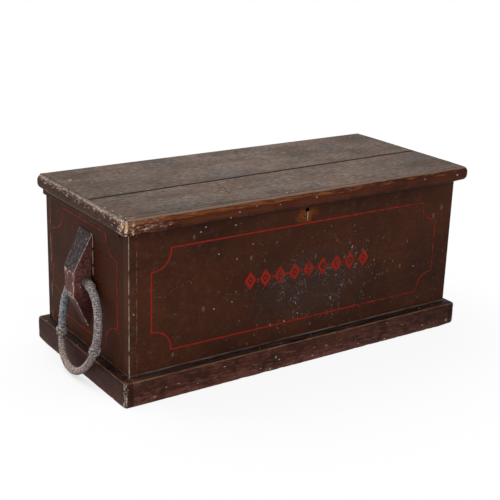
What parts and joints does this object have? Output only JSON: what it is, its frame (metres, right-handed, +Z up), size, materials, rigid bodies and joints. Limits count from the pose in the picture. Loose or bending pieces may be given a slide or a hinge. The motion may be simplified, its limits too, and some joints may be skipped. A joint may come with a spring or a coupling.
{
  "type": "sea chest",
  "caption": "Low painted pine chest with a hinged two-board lid, nailed edge moulding, mitred plinth, keyhole lock, open till and a rope ring handle through a wooden cleat at each end.",
  "frame": {"origin": "on the floor, under the middle of the overall box of lid, plinth and cleats, which is 1.5 mm in front of the middle of the carcass", "axes": "+X along the chest to the right as seen from the front, the keyhole side faces -Y, the hinges are at +Y, +Z up"},
  "size_m": [1.0232, 0.453, 0.42],
  "materials": {
    "brown_paint": "worn dark brown oil paint on pine",
    "lid_paint": "scuffed grey-brown paint on pine",
    "worn_moulding": "dark brown paint worn to orange-tan pine along the edges",
    "bare_deal": "unpainted pine, dry and dusty",
    "cleat_paint": "dark painted hardwood, rubbed bare at the edges",
    "black_iron": "hand-forged iron with old black lacquer and a little rust",
    "rope_canvas": "rope served with canvas and painted, grey-brown, dirty",
    "knot_line": "tarred cotton line in tight wraps"
  },
  "bodies": {
    "chest": {"front_board": "brown_paint", "back_board": "brown_paint", "left_end_board": "brown_paint", "right_end_board": "brown_paint", "plinth_front": "brown_paint", "plinth_back": "brown_paint", "plinth_left": "brown_paint", "plinth_right": "brown_paint", "bottom_board_1": "bare_deal", "bottom_board_2": "bare_deal", "bottom_board_3": "bare_deal", "till_side": "bare_deal", "till_bottom": "bare_deal", "lock_case": "black_iron", "hinge_leaf_left": "black_iron", "hinge_leaf_right": "black_iron", "hinge_pin_left": "black_iron", "hinge_pin_right": "black_iron", "cleat_left": "cleat_paint", "cleat_right": "cleat_paint"},
    "lid": {"lid_front_board": "lid_paint", "lid_back_board": "lid_paint", "lid_moulding_front": "worn_moulding", "lid_moulding_left": "worn_moulding", "lid_moulding_right": "worn_moulding", "lid_batten_left": "brown_paint", "lid_batten_right": "brown_paint", "hinge_strap_left": "black_iron", "hinge_strap_right": "black_iron", "lock_staple": "black_iron"},
    "lock_bolt": {"lock_bolt": "black_iron"},
    "becket_left": {"becket_left": "rope_canvas", "knot_left_front": "knot_line", "knot_left_back": "knot_line"},
    "becket_right": {"becket_right": "rope_canvas", "knot_right_front": "knot_line", "knot_right_back": "knot_line"}
  },
  "joints": [
    {"name": "lid_hinge", "type": "hinge", "parent": "chest", "child": "lid", "pos_m": [0, 0.2103, 0.399], "axis": [-1, 0, 0], "range_deg": [0, 105]},
    {"name": "becket_left_swing", "type": "hinge", "parent": "chest", "child": "becket_left", "pos_m": [-0.4725, 0.0015, 0.226], "axis": [0, 1, 0], "range_deg": [0, 150]},
    {"name": "becket_right_swing", "type": "hinge", "parent": "chest", "child": "becket_right", "pos_m": [0.4725, 0.0015, 0.226], "axis": [0, -1, 0], "range_deg": [0, 150]},
    {"name": "lock_bolt_slide", "type": "slide", "parent": "chest", "child": "lock_bolt", "axis": [1, 0, 0], "range_m": [0, 0.012]}
  ]
}
